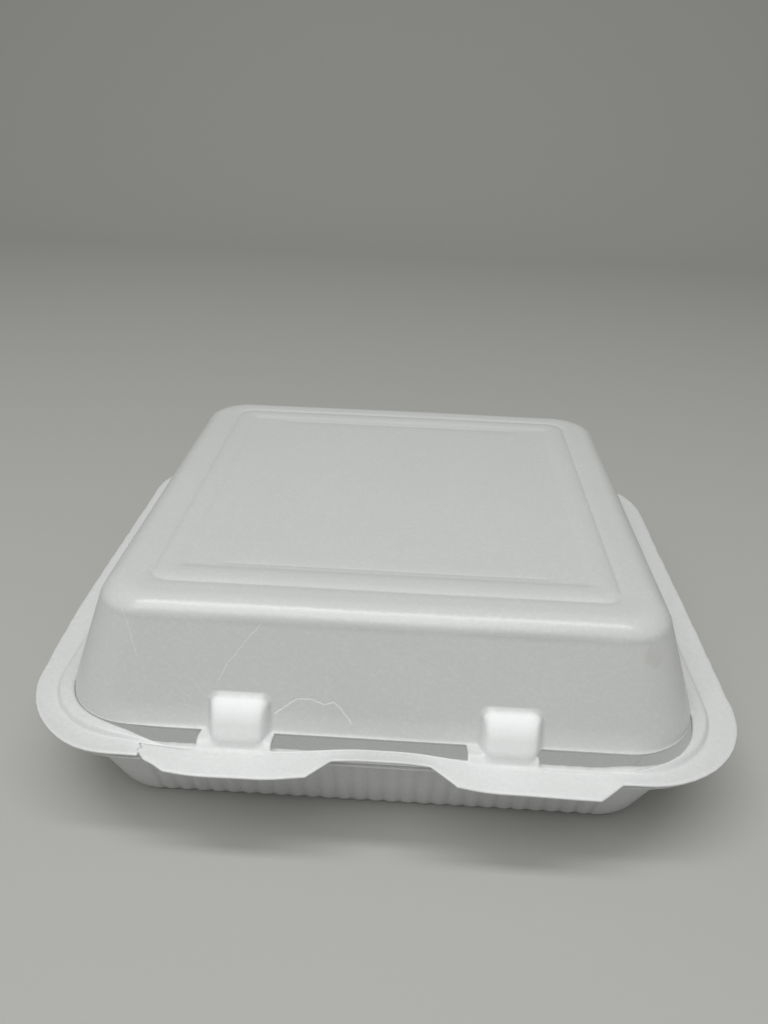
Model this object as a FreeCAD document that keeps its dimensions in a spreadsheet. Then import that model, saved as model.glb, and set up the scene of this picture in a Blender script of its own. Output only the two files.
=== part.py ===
# Foam clamshell container, closed: a shallow tray, a domed lid and the fold that joins them.
# Origin: centre of the rim outline, on the underside of the tray. X right, Y to the back, Z up.
# The lid opens by turning up and back about the fold at +Y. All sizes are in millimetres.
import FreeCAD, Part
import Sketcher
import os
import math

os.makedirs("parts", exist_ok=True)
doc = FreeCAD.newDocument("clamshell")
sizes = doc.addObject("Spreadsheet::Sheet", "sizes")
written = []


def write(**named):
    """Write named sizes into the sheet, each under its own name."""
    for name, number in named.items():
        written.append(name)
        row = str(len(written))
        sizes.set("A" + row, name)
        sizes.set("B" + row, str(number))
        sizes.setAlias("B" + row, name)


# Rim shared by the tray and the lid
rim_width = 232.0  # rim outline, left to right
rim_depth = 214.0  # rim outline, front to back
rim_corner = 37.0  # radius of the rim corners
rim_sheet = 1.2  # pressed thickness of the rims
parting_height = 38.0  # height of the plane between the rims
rim_gap = 0.3  # clearance between the closed rims
write(rim_width=rim_width, rim_depth=rim_depth, rim_corner=rim_corner, rim_sheet=rim_sheet,
      parting_height=parting_height, rim_gap=rim_gap)

# Sheet the tray and the lid are formed from
wall_sheet = 2.3  # level thickness of the sloped walls
panel_sheet = 2.2  # thickness of the floor and the top panel
write(wall_sheet=wall_sheet, panel_sheet=panel_sheet)

# Tray
tray_floor_width = 183.0  # tray underside, left to right
tray_floor_depth = 165.0  # tray underside, front to back
tray_floor_corner = 18.0  # corner radius of the tray underside
tray_mouth_width = 214.0  # tray wall at the rim, left to right
tray_mouth_depth = 199.0  # tray wall at the rim, front to back
tray_mouth_corner = 29.0  # corner radius of the tray wall at the rim
tray_lean = 24.0  # lean of the tray wall from upright, in degrees
tray_edge_round = 6.0  # rounding of the bottom edge outside
tray_edge_round_in = 4.5  # rounding of the bottom edge inside
front_setback = 4.0  # how far the tray rim stands back under the front strip
front_setback_half = 72.0  # half the length of that set back stretch
write(tray_floor_width=tray_floor_width, tray_floor_depth=tray_floor_depth,
      tray_floor_corner=tray_floor_corner, tray_mouth_width=tray_mouth_width,
      tray_mouth_depth=tray_mouth_depth, tray_mouth_corner=tray_mouth_corner, tray_lean=tray_lean,
      tray_edge_round=tray_edge_round, tray_edge_round_in=tray_edge_round_in,
      front_setback=front_setback, front_setback_half=front_setback_half)

# Upright flutes pressed into the tray walls
flute_pitch = 5.4  # distance between grooves
flute_bite = 1.0  # depth of a groove
flute_floor = 0.8  # width of the bottom of a groove
flute_side = 0.8  # width of the sloped side of a groove at the face of the wall
flutes_front = 28  # grooves in the front wall and in the back wall
flutes_side = 24  # grooves in each side wall
flute_stop = 0.4  # space left between a groove and the rim
write(flute_pitch=flute_pitch, flute_bite=flute_bite, flute_floor=flute_floor,
      flute_side=flute_side, flutes_front=flutes_front, flutes_side=flutes_side,
      flute_stop=flute_stop)

# Lugs on the tray that stand in the lid pockets
lug_half_spacing = 42.0  # middle of the tray to the middle of a lug
lug_width = 11.0  # width of a lug
lug_thickness = 4.5  # thickness of a lug, front to back
lug_height = 12.0  # height of a lug above the parting plane
lug_clearance = 1.0  # space between a lug and the pocket
lug_root = 9.0  # how far a lug runs down the inside of the wall
lug_round = 1.8  # rounding of the top of a lug
write(lug_half_spacing=lug_half_spacing, lug_width=lug_width, lug_thickness=lug_thickness,
      lug_height=lug_height, lug_clearance=lug_clearance, lug_root=lug_root, lug_round=lug_round)

# Lid
lid_top = 81.0  # height of the top panel above the tray underside
lid_panel_width = 174.0  # top outline before its edge is rounded, left to right
lid_panel_depth = 172.0  # top outline before its edge is rounded, front to back
lid_panel_corner = 15.0  # corner radius of that outline
lid_foot_width = 200.0  # foot of the lid wall, left to right
lid_foot_depth = 191.0  # foot of the lid wall, front to back
lid_foot_corner = 21.0  # corner radius at the foot of the lid wall
foot_rise = 5.4  # foot of the lid wall above the parting plane
ledge_width = 211.5  # outer edge of the ledge, left to right
ledge_depth = 198.5  # outer edge of the ledge, front to back
ledge_corner = 28.0  # corner radius of the ledge
ledge_rise = 4.2  # outer edge of the ledge above the parting plane
ledge_sheet = 1.8  # thickness of the ledge
step_width = 214.0  # foot of the step on the rim, left to right
step_depth = 200.5  # foot of the step on the rim, front to back
step_corner = 29.5  # corner radius of the step
lid_lean = 18.0  # lean of the lid wall from upright, in degrees
lid_edge_round = 8.0  # rounding of the top edge outside
lid_edge_round_in = 6.0  # rounding of the top edge inside
write(lid_top=lid_top, lid_panel_width=lid_panel_width, lid_panel_depth=lid_panel_depth,
      lid_panel_corner=lid_panel_corner, lid_foot_width=lid_foot_width,
      lid_foot_depth=lid_foot_depth, lid_foot_corner=lid_foot_corner, foot_rise=foot_rise,
      ledge_width=ledge_width, ledge_depth=ledge_depth, ledge_corner=ledge_corner,
      ledge_rise=ledge_rise, ledge_sheet=ledge_sheet, step_width=step_width, step_depth=step_depth,
      step_corner=step_corner, lid_lean=lid_lean, lid_edge_round=lid_edge_round,
      lid_edge_round_in=lid_edge_round_in)

# Pressed border of the top panel
border_width = 151.0  # outer line of the border, left to right
border_depth = 149.0  # outer line of the border, front to back
border_corner = 13.0  # corner radius of the border
line_width = 0.7  # width of a pressed line
line_deep = 0.4  # depth of a pressed line
bead_width = 8.0  # width of the raised bead
bead_rise = 0.9  # height of the raised bead
bead_round = 0.6  # slope cut on the bead edges
inner_line_length = 108.0  # length of the inner lines at the front and the back
inner_line_inset = 2.4  # from the bead to an inner line
write(border_width=border_width, border_depth=border_depth, border_corner=border_corner,
      line_width=line_width, line_deep=line_deep, bead_width=bead_width, bead_rise=bead_rise,
      bead_round=bead_round, inner_line_length=inner_line_length, inner_line_inset=inner_line_inset)

# Latch pockets in the front wall of the lid
pocket_half_spacing = 42.0  # middle of the lid to the middle of a pocket
pocket_width = 17.5  # width of a pocket outside
pocket_front = 98.3  # front of a pocket from the middle of the lid
pocket_depth = 16.0  # length of the pocket block, front to back
pocket_corner = 4.5  # radius of the upright front edges of a pocket
pocket_taper = 0.6  # how far the pocket sides lean in up to the top
pocket_lean = 3.0  # lean of the pocket sides at the top, in degrees
pocket_top = 54.5  # height of the top of a pocket
pocket_sheet = 1.8  # thickness of the pocket walls
pocket_round = 3.6  # rounding of the top of a pocket
write(pocket_half_spacing=pocket_half_spacing, pocket_width=pocket_width,
      pocket_front=pocket_front, pocket_depth=pocket_depth, pocket_corner=pocket_corner,
      pocket_taper=pocket_taper, pocket_lean=pocket_lean, pocket_top=pocket_top,
      pocket_sheet=pocket_sheet, pocket_round=pocket_round)

# Finger tabs on the front edge of the lid
tab_half_spacing = 42.5  # middle of the lid to the middle of a tab
tab_root = 58.0  # width of a tab at the rim
tab_tip = 45.0  # width of a tab at its free edge
tab_reach = 6.0  # how far a tab stands out from the rim
tab_overlap = 3.0  # how far a tab runs back into the rim
tab_round = 2.0  # rounding of the tab corners
write(tab_half_spacing=tab_half_spacing, tab_root=tab_root, tab_tip=tab_tip, tab_reach=tab_reach,
      tab_overlap=tab_overlap, tab_round=tab_round)

# Cuts between the ledge and the front strip
cut_width = 3.2  # width of the front cuts
cut_margin = 0.25  # from the foot of the lid wall to the cuts
bridge_width = 22.2  # strip left uncut at each pocket
bridge_spacing = 83.4  # distance between the uncut bridges
cut_shift = 2.7  # cuts are stamped this far to the left
slit_width = 0.9  # width of the slit that goes round the left front corner
slot_round = 3.0  # width of the slot that goes round the right front corner
slit_run = 30.0  # length of the left slit along the side of the lid
slot_run = 1.5  # length of the right slot along the side of the lid
tear_width = 0.5  # opening of the tear in the front strip
tear_left = 70.0  # tear from the middle of the lid
tear_zigzag = 0.9  # sideways wander of the tear
write(cut_width=cut_width, cut_margin=cut_margin, bridge_width=bridge_width, bridge_spacing=bridge_spacing,
      cut_shift=cut_shift, slit_width=slit_width, slot_round=slot_round, slot_run=slot_run, slit_run=slit_run, tear_width=tear_width,
      tear_left=tear_left, tear_zigzag=tear_zigzag)

# Fold at the back
land_half = 104.0  # half the length of the folded edge
land_depth = 17.0  # depth of the straight edge strip at the back
land_corner = 3.0  # cut at the ends of the folded edge
fold_half = 100.0  # half the length of the fold itself
write(land_half=land_half, land_depth=land_depth, land_corner=land_corner, fold_half=fold_half)
doc.recompute()


def value(expression):
    """Number that an expression over the sheet stands for."""
    found = sizes.evalExpression(expression)
    return float(getattr(found, "Value", found))


def bind(thing, prop, expression):
    """Tie a property to the sheet."""
    thing.setExpression(prop, expression)


def new_body(name):
    body = doc.addObject("PartDesign::Body", name)
    body.Label = name
    return body


def plane(body, role):
    return [f for f in body.Origin.OriginFeatures if f.Role == role][0]


def new_sketch(body, name, role, offset="0"):
    """Sketch on one of the body's own origin planes, moved along the plane's normal."""
    sketch = body.newObject("Sketcher::SketchObject", name)
    sketch.AttachmentSupport = [(plane(body, role), "")]
    sketch.MapMode = "FlatFace"
    if offset != "0":
        bind(sketch, "AttachmentOffset.Base.z", offset)
    return sketch


def tie(sketch, kind, places, expression):
    """Add one driving dimension and bind it to the sheet."""
    index = sketch.addConstraint(Sketcher.Constraint(kind, *places, value(expression)))
    bind(sketch, "Constraints[%d]" % index, expression)


def polygon(sketch, corners):
    """Closed outline of straight lines; each corner is a pair of expressions."""
    points = [FreeCAD.Vector(value(x), value(y), 0) for x, y in corners]
    count = len(points)
    lines = []
    for i in range(count):
        line = Part.LineSegment(points[i], points[(i + 1) % count])
        lines.append(sketch.addGeometry(line, False))
    for i in range(count):
        following = lines[(i + 1) % count]
        sketch.addConstraint(Sketcher.Constraint("Coincident", lines[i], 2, following, 1))
    for line, (x, y) in zip(lines, corners):
        tie(sketch, "DistanceX", (-1, 1, line, 1), x)
        tie(sketch, "DistanceY", (-1, 1, line, 1), y)


def rounded_outline(sketch, width, depth, corner):
    """Rounded rectangle centred on the sketch origin, sized by three expressions."""
    w, d, r = value(width) / 2, value(depth) / 2, value(corner)
    vec = FreeCAD.Vector
    ends = []
    ends.append((vec(r - w, -d, 0), vec(w - r, -d, 0)))
    ends.append((vec(w, r - d, 0), vec(w, d - r, 0)))
    ends.append((vec(w - r, d, 0), vec(r - w, d, 0)))
    ends.append((vec(-w, d - r, 0), vec(-w, r - d, 0)))
    lines = [sketch.addGeometry(Part.LineSegment(a, b), False) for a, b in ends]
    centres = [(w - r, r - d), (w - r, d - r), (r - w, d - r), (r - w, r - d)]
    arcs = []
    for i, (x, y) in enumerate(centres):
        circle = Part.Circle(vec(x, y, 0), vec(0, 0, 1), r)
        start = (i - 1) * math.pi / 2
        arcs.append(sketch.addGeometry(Part.ArcOfCircle(circle, start, start + math.pi / 2), False))
    for i in range(4):
        sketch.addConstraint(Sketcher.Constraint("Tangent", lines[i], 2, arcs[i], 1))
        sketch.addConstraint(Sketcher.Constraint("Tangent", arcs[i], 2, lines[(i + 1) % 4], 1))
    for i in (0, 2):
        sketch.addConstraint(Sketcher.Constraint("Horizontal", lines[i]))
        sketch.addConstraint(Sketcher.Constraint("Vertical", lines[i + 1]))
    for i in (1, 2, 3):
        sketch.addConstraint(Sketcher.Constraint("Equal", arcs[0], arcs[i]))
    tie(sketch, "Radius", (arcs[0],), corner)
    tie(sketch, "DistanceX", (-1, 1, lines[1], 1), "(" + width + ") / 2")
    tie(sketch, "DistanceX", (lines[3], 1, -1, 1), "(" + width + ") / 2")
    tie(sketch, "DistanceY", (-1, 1, lines[2], 1), "(" + depth + ") / 2")
    tie(sketch, "DistanceY", (lines[0], 1, -1, 1), "(" + depth + ") / 2")


def corner_slit(sketch, side, width, along):
    """Band that follows the foot of the lid wall round one front corner and up the side."""
    r_in = "(sizes.lid_foot_corner + sizes.cut_margin)"
    r_out = "(sizes.lid_foot_corner + sizes.cut_margin + %s)" % width
    x = "(sizes.lid_foot_width / 2 - sizes.lid_foot_corner)"
    y = "(sizes.lid_foot_depth / 2 - sizes.lid_foot_corner)"
    sign = "" if side > 0 else "-"
    cx, cy = side * value(x), -value(y)
    vec = FreeCAD.Vector
    first, last = (-math.pi / 2, 0.0) if side > 0 else (math.pi, 1.5 * math.pi)
    bottom, flank = (1, 2) if side > 0 else (2, 1)
    arcs = []
    for radius in (r_out, r_in):
        circle = Part.Circle(vec(cx, cy, 0), vec(0, 0, 1), value(radius))
        arcs.append(sketch.addGeometry(Part.ArcOfCircle(circle, first, last), False))
    outer, inner = arcs
    reach, run = value(r_out), value(along)
    x_out, x_in = cx + side * reach, cx + side * value(r_in)
    ends = []
    ends.append((vec(cx, cy - value(r_in), 0), vec(cx, cy - reach, 0)))
    ends.append((vec(x_out, cy, 0), vec(x_out, cy + run, 0)))
    ends.append((vec(x_out, cy + run, 0), vec(x_in, cy + run, 0)))
    ends.append((vec(x_in, cy + run, 0), vec(x_in, cy, 0)))
    start, up, end, back = [sketch.addGeometry(Part.LineSegment(a, b), False) for a, b in ends]
    join = lambda a, pa, b, pb: sketch.addConstraint(Sketcher.Constraint("Coincident", a, pa, b, pb))
    join(start, 1, inner, bottom)
    join(start, 2, outer, bottom)
    join(outer, flank, up, 1)
    join(up, 2, end, 1)
    join(end, 2, back, 1)
    join(back, 2, inner, flank)
    join(outer, 3, inner, 3)
    sketch.addConstraint(Sketcher.Constraint("Vertical", start))
    sketch.addConstraint(Sketcher.Constraint("Vertical", up))
    sketch.addConstraint(Sketcher.Constraint("Vertical", back))
    sketch.addConstraint(Sketcher.Constraint("Horizontal", end))
    sketch.addConstraint(Sketcher.Constraint("Vertical", outer, bottom, outer, 3))
    sketch.addConstraint(Sketcher.Constraint("Horizontal", outer, flank, outer, 3))
    sketch.addConstraint(Sketcher.Constraint("Horizontal", inner, flank, inner, 3))
    tie(sketch, "Radius", (outer,), r_out)
    tie(sketch, "Radius", (inner,), r_in)
    tie(sketch, "DistanceX", (-1, 1, outer, 3), sign + x)
    tie(sketch, "DistanceY", (-1, 1, outer, 3), "-" + y)
    tie(sketch, "DistanceY", (up, 1, up, 2), along)


def loft(body, kind, name, sketches):
    """Straight sided solid through a row of outlines, added or taken away."""
    shape = body.newObject("PartDesign::" + kind, name)
    shape.Profile = sketches[0]
    shape.Sections = sketches[1:]
    shape.Ruled = True
    doc.recompute()
    return shape


def outline(body, name, height, width, depth, corner, centre=None):
    """Sketch that holds one rounded rectangle at a height."""
    sketch = new_sketch(body, name, "XY_Plane", height)
    if centre:
        bind(sketch, "AttachmentOffset.Base.x", centre[0])
        bind(sketch, "AttachmentOffset.Base.y", centre[1])
    rounded_outline(sketch, width, depth, corner)
    return sketch


def rounded_edge(body, name, level_at, upward, width, depth, corner, radius, lean, steps, centre=None):
    """Row of outlines that rolls a flat panel over into a wall that leans by an angle."""
    row = []
    for i in range(steps + 1):
        angle = "(90 - (90 - %s) * %d / %d)" % (lean, i, steps)
        inset = "(tan((90 - %s) / 2) - cos(%s)) * %s" % (lean, angle, radius)
        height = "%s %s (1 - sin(%s)) * %s" % (level_at, "+" if upward else "-", angle, radius)
        sketch_name = "%s_%d" % (name, i)
        across = "%s - 2 * %s" % (width, inset)
        along = "%s - 2 * %s" % (depth, inset)
        row.append(outline(body, sketch_name, height, across, along, "%s - %s" % (corner, inset), centre))
    return row


def pad(body, name, sketch, length, midplane=False):
    shape = body.newObject("PartDesign::Pad", name)
    shape.Profile = sketch
    shape.Midplane = midplane
    bind(shape, "Length", length)
    doc.recompute()
    return shape


def pocket(body, name, sketch, length, upward=False):
    """Cut from the sketch plane down, or up where upward is set."""
    before = body.Shape.Volume
    shape = body.newObject("PartDesign::Pocket", name)
    shape.Profile = sketch
    shape.Reversed = upward
    bind(shape, "Length", length)
    doc.recompute()
    if not body.Shape.Volume < before:
        raise ValueError(name + " took nothing away")
    return shape


def soften(body, name, base, radius, chosen, flat=False):
    """Round the edges of a feature that a test on the edge picks, or cut them flat."""
    names = []
    for i, edge in enumerate(base.Shape.Edges):
        if chosen(edge):
            names.append("Edge%d" % (i + 1))
    if not names:
        raise ValueError(name + " found no edges")
    shape = body.newObject("PartDesign::Chamfer" if flat else "PartDesign::Fillet", name)
    shape.Base = (base, names)
    bind(shape, "Size" if flat else "Radius", radius)
    doc.recompute()
    return shape


def mirror(body, name, features, role):
    """Copy features across one of the body's origin planes."""
    shape = body.newObject("PartDesign::Mirrored", name)
    shape.Originals = features
    shape.MirrorPlane = (plane(body, role), [""])
    body.Tip = shape
    doc.recompute()
    return shape


def level(edge, height):
    """True where every point of the edge lies at one height."""
    box = edge.BoundBox
    return abs(box.ZMin - height) < 0.01 and abs(box.ZMax - height) < 0.01


# The tray: a sloped, fluted wall on a flat floor, with a flat rim

tray = new_body("base_tray")
rim_top = "sizes.parting_height - sizes.rim_gap / 2"
rim_under = "sizes.parting_height - sizes.rim_gap / 2 - sizes.rim_sheet"

# Outer skin of the tray, from its underside to the rim
tray_foot = rounded_edge(tray, "tray_foot", "0", True, "sizes.tray_floor_width", "sizes.tray_floor_depth",
                         "sizes.tray_floor_corner", "sizes.tray_edge_round", "sizes.tray_lean", 2)
tray_mouth = outline(tray, "tray_mouth", rim_top, "sizes.tray_mouth_width", "sizes.tray_mouth_depth",
                     "sizes.tray_mouth_corner")
tray_skin = loft(tray, "AdditiveLoft", "tray_skin", tray_foot + [tray_mouth])


def flute(name, role_across, along_x, count):
    """One groove that follows the lean of a wall, its row along the wall and the row opposite."""
    floor = "sizes.tray_floor_depth" if along_x else "sizes.tray_floor_width"
    mouth = "sizes.tray_mouth_depth" if along_x else "sizes.tray_mouth_width"
    first = "((%s - 1) * sizes.flute_pitch / 2)" % count
    deep = "(%s / 2 - sizes.flute_bite)" % floor
    shallow = "(%s / 2 + sizes.flute_bite)" % floor
    profile = []
    profile.append(("sizes.flute_floor / 2", deep))
    profile.append(("sizes.flute_floor / 2 + 2 * sizes.flute_side", shallow))
    profile.append(("-(sizes.flute_floor / 2 + 2 * sizes.flute_side)", shallow))
    profile.append(("-sizes.flute_floor / 2", deep))
    sketch = new_sketch(tray, name + "_profile", "XY_Plane")
    corners = []
    for across, out in profile:
        place = "-%s + (%s)" % (first, across)
        corners.append((place, "-" + out) if along_x else ("-" + out, place))
    polygon(sketch, corners)
    groove = tray.newObject("PartDesign::Pocket", name)
    groove.Profile = sketch
    groove.UseCustomVector = True
    groove.AlongSketchNormal = True
    lean = "-(%s - %s) / 2 / sizes.parting_height" % (mouth, floor)
    bind(groove, "Direction.y" if along_x else "Direction.x", lean)
    groove.Direction = (0, value(lean), 1) if along_x else (value(lean), 0, 1)
    bind(groove, "Length", rim_under + " - sizes.flute_stop")
    doc.recompute()
    row = doc.addObject("PartDesign::LinearPattern", name + "_row")
    across = doc.addObject("PartDesign::Mirrored", name + "_across")
    both = tray.newObject("PartDesign::MultiTransform", name + "_all")
    axis_role = "X_Axis" if along_x else "Y_Axis"
    row.Direction = (plane(tray, axis_role), [""])
    bind(row, "Length", "(%s - 1) * sizes.flute_pitch" % count)
    bind(row, "Occurrences", count)
    across.MirrorPlane = (plane(tray, role_across), [""])
    both.Originals = [groove]
    both.Transformations = [row, across]
    tray.Tip = both
    doc.recompute()
    return both


# Rim plate, its straight strip at the back, and the hollow through both
tray_rim_line = new_sketch(tray, "tray_rim_line", "XY_Plane", rim_under)
rounded_outline(tray_rim_line, "sizes.rim_width", "sizes.rim_depth", "sizes.rim_corner")
tray_rim = pad(tray, "tray_rim", tray_rim_line, "sizes.rim_sheet")


def back_strip(body, name, height):
    """Straight strip that carries the fold along the back edge of a rim."""
    sketch = new_sketch(body, name + "_line", "XY_Plane", height)
    half, back = "sizes.land_half", "sizes.rim_depth / 2"
    front = back + " - sizes.land_depth"
    side = "(%s - sizes.land_corner)" % half
    ends = back + " - sizes.land_corner"
    corners = []
    corners.append(("-" + half, front))
    corners.append((half, front))
    corners.append((half, ends))
    corners.append((side, back))
    corners.append(("-" + side, back))
    corners.append(("-" + half, ends))
    polygon(sketch, corners)
    return pad(body, name, sketch, "sizes.rim_sheet")


tray_strip = back_strip(tray, "tray_strip", rim_under)

# Hollow of the tray
rise = "sizes.panel_sheet / sizes.parting_height"
floor_in_w = ("sizes.tray_floor_width - 2 * sizes.wall_sheet"
              " + (sizes.tray_mouth_width - sizes.tray_floor_width) * " + rise)
floor_in_d = ("sizes.tray_floor_depth - 2 * sizes.wall_sheet"
              " + (sizes.tray_mouth_depth - sizes.tray_floor_depth) * " + rise)
hollow_foot = rounded_edge(tray, "hollow_foot", "sizes.panel_sheet", True, floor_in_w, floor_in_d,
                           "sizes.tray_floor_corner - sizes.wall_sheet + 1",
                           "sizes.tray_edge_round_in", "sizes.tray_lean", 2)
hollow_mouth = outline(tray, "hollow_mouth", rim_top, "sizes.tray_mouth_width - 2 * sizes.wall_sheet",
                       "sizes.tray_mouth_depth - 2 * sizes.wall_sheet",
                       "sizes.tray_mouth_corner - sizes.wall_sheet")
tray_hollow = loft(tray, "SubtractiveLoft", "tray_hollow", hollow_foot + [hollow_mouth])

# Front stretch of the rim stands back under the lid strip
setback_line = new_sketch(tray, "setback_line", "XY_Plane", rim_top)
cut_front = "-(sizes.rim_depth / 2 + 2)"
cut_back = "-(sizes.rim_depth / 2 - sizes.front_setback)"
setback_corners = []
setback_corners.append(("-sizes.front_setback_half", cut_front))
setback_corners.append(("sizes.front_setback_half", cut_front))
setback_corners.append(("sizes.front_setback_half - sizes.front_setback", cut_back))
setback_corners.append(("-(sizes.front_setback_half - sizes.front_setback)", cut_back))
polygon(setback_line, setback_corners)
setback = pocket(tray, "setback", setback_line, "sizes.rim_sheet + sizes.flute_stop / 2")

# One lug on the inside of the front wall, drawn from the side, and its mirror copy
lug_line = new_sketch(tray, "lug_line", "YZ_Plane", "-sizes.lug_half_spacing")
lug_front = "-(sizes.pocket_front - sizes.pocket_sheet - sizes.lug_clearance)"
lug_back = lug_front + " + sizes.lug_thickness"
wall_mid = "-(sizes.tray_mouth_depth / 2 - sizes.wall_sheet / 2)"
lug_top = "sizes.parting_height + sizes.lug_height"
lug_low = "sizes.parting_height - sizes.lug_root"
wall_low = wall_mid + " + sizes.lug_root * (sizes.tray_mouth_depth - sizes.tray_floor_depth) / 2 / sizes.parting_height"
lug_corners = []
lug_corners.append((wall_low, lug_low))
lug_corners.append((lug_back, lug_low + " + sizes.lug_thickness / 2"))
lug_corners.append((lug_back, lug_top + " - sizes.lug_round"))
lug_corners.append((lug_back + " - sizes.lug_round * 0.8", lug_top))
lug_corners.append((lug_front + " + sizes.lug_round * 0.8", lug_top))
lug_corners.append((lug_front, lug_top + " - sizes.lug_round"))
lug_corners.append((lug_front, rim_top + " + 0.8"))
lug_corners.append((wall_mid, rim_top))
polygon(lug_line, lug_corners)
lug = pad(tray, "lug", lug_line, "sizes.lug_width", True)
lug_pair = mirror(tray, "lug_pair", [lug], "YZ_Plane")

# Grooves along the front and back walls, then along the side walls
flute("flute_front", "XZ_Plane", True, "sizes.flutes_front")
flute("flute_side", "YZ_Plane", False, "sizes.flutes_side")

# The lid: a tapered dome on a stepped rim

lid = new_body("lid")
lid_under = "sizes.parting_height + sizes.rim_gap / 2"
lid_rim_top = "sizes.parting_height + sizes.rim_gap / 2 + sizes.rim_sheet"

# Outer skin, from the foot of the step up to the top panel
step_foot = outline(lid, "step_foot", lid_under, "sizes.step_width", "sizes.step_depth", "sizes.step_corner")
ledge_edge = outline(lid, "ledge_edge", "sizes.parting_height + sizes.ledge_rise",
                     "sizes.ledge_width", "sizes.ledge_depth", "sizes.ledge_corner")
wall_foot = outline(lid, "wall_foot", "sizes.parting_height + sizes.foot_rise",
                    "sizes.lid_foot_width", "sizes.lid_foot_depth", "sizes.lid_foot_corner")
panel_edge = rounded_edge(lid, "panel_edge", "sizes.lid_top", False, "sizes.lid_panel_width",
                          "sizes.lid_panel_depth", "sizes.lid_panel_corner",
                          "sizes.lid_edge_round", "sizes.lid_lean", 2)
lid_skin = loft(lid, "AdditiveLoft", "lid_skin", [step_foot, ledge_edge, wall_foot] + panel_edge[::-1])

# Two latch pockets stand out of the front wall
pocket_left = ("-sizes.pocket_half_spacing", "-(sizes.pocket_front - sizes.pocket_depth / 2)")
pocket_foot = outline(lid, "pocket_foot", lid_under, "sizes.pocket_width", "sizes.pocket_depth",
                      "sizes.pocket_corner", pocket_left)
pocket_cap = rounded_edge(lid, "pocket_cap", "sizes.pocket_top", False,
                          "sizes.pocket_width - 2 * sizes.pocket_taper",
                          "sizes.pocket_depth - 2 * sizes.pocket_taper", "sizes.pocket_corner",
                          "sizes.pocket_round", "sizes.pocket_lean", 2, pocket_left)
pocket_block = loft(lid, "AdditiveLoft", "pocket_block", [pocket_foot] + pocket_cap[::-1])
pocket_pair = mirror(lid, "pocket_pair", [pocket_block], "YZ_Plane")

# Rim plate with its strip at the back and two finger tabs at the front
lid_rim_line = new_sketch(lid, "lid_rim_line", "XY_Plane", lid_under)
rounded_outline(lid_rim_line, "sizes.rim_width", "sizes.rim_depth", "sizes.rim_corner")
lid_rim = pad(lid, "lid_rim", lid_rim_line, "sizes.rim_sheet")
lid_strip = back_strip(lid, "lid_strip", lid_under)
tab_line = new_sketch(lid, "tab_line", "XY_Plane", lid_under)
tab_edge = "-(sizes.rim_depth / 2 + sizes.tab_reach)"
tab_back = "-(sizes.rim_depth / 2 - sizes.tab_overlap)"
tab = []
tab.append(("-(sizes.tab_half_spacing + sizes.tab_tip / 2)", tab_edge))
tab.append(("-(sizes.tab_half_spacing - sizes.tab_tip / 2)", tab_edge))
tab.append(("-(sizes.tab_half_spacing - sizes.tab_root / 2)", "-sizes.rim_depth / 2"))
tab.append(("-(sizes.tab_half_spacing - sizes.tab_root / 2)", tab_back))
tab.append(("-(sizes.tab_half_spacing + sizes.tab_root / 2)", tab_back))
tab.append(("-(sizes.tab_half_spacing + sizes.tab_root / 2)", "-sizes.rim_depth / 2"))
polygon(tab_line, tab)
finger_tab = pad(lid, "finger_tab", tab_line, "sizes.rim_sheet")
tab_front = value(tab_edge)


def tab_corner(edge):
    box = edge.BoundBox
    upright = box.XMax - box.XMin < 0.01 and box.ZMax - box.ZMin > 0.5
    return upright and abs(box.YMin - tab_front) < 0.01


tab_soft = soften(lid, "tab_soft", finger_tab, "sizes.tab_round", tab_corner)
tab_pair = mirror(lid, "tab_pair", [finger_tab, tab_soft], "YZ_Plane")

# Hollow of the lid, a sheet thickness inside the skin
under_mouth = outline(lid, "under_mouth", lid_under, "sizes.step_width - 2 * sizes.wall_sheet",
                      "sizes.step_depth - 2 * sizes.wall_sheet", "sizes.step_corner - sizes.wall_sheet")
under_ledge = outline(lid, "under_ledge", "sizes.parting_height + sizes.ledge_rise - sizes.ledge_sheet",
                      "sizes.ledge_width - 2 * sizes.wall_sheet",
                      "sizes.ledge_depth - 2 * sizes.wall_sheet", "sizes.ledge_corner - sizes.wall_sheet")
under_wall = outline(lid, "under_wall", "sizes.parting_height + sizes.foot_rise - sizes.ledge_sheet",
                     "sizes.lid_foot_width - 2 * sizes.wall_sheet",
                     "sizes.lid_foot_depth - 2 * sizes.wall_sheet",
                     "sizes.lid_foot_corner - sizes.wall_sheet")
under_panel = rounded_edge(lid, "under_panel", "sizes.lid_top - sizes.panel_sheet", False,
                           "sizes.lid_panel_width - 2 * sizes.wall_sheet + 1",
                           "sizes.lid_panel_depth - 2 * sizes.wall_sheet + 1",
                           "sizes.lid_panel_corner - sizes.wall_sheet",
                           "sizes.lid_edge_round_in", "sizes.lid_lean", 2)
lid_hollow = loft(lid, "SubtractiveLoft", "lid_hollow", [under_mouth, under_ledge, under_wall] + under_panel[::-1])


# Room inside the latch pockets, open to the hollow of the lid
room_w = "sizes.pocket_width - 2 * sizes.pocket_sheet"
room_d = "sizes.pocket_depth - 2 * sizes.pocket_sheet"
room_r = "sizes.pocket_corner - sizes.pocket_sheet"
room_foot = outline(lid, "room_foot", lid_under, room_w, room_d, room_r, pocket_left)
room_cap = outline(lid, "room_cap", "sizes.pocket_top - sizes.pocket_round", room_w + " - 2 * sizes.pocket_taper",
                   room_d + " - 2 * sizes.pocket_taper", room_r, pocket_left)
room_top = outline(lid, "room_top", "sizes.pocket_top - sizes.pocket_sheet",
                   room_w + " - 2 * sizes.pocket_taper - 2 * sizes.pocket_sheet",
                   room_d + " - 2 * sizes.pocket_taper - 2 * sizes.pocket_sheet",
                   room_r + " / 2", pocket_left)
room = loft(lid, "SubtractiveLoft", "room", [room_foot, room_cap, room_top])
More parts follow.
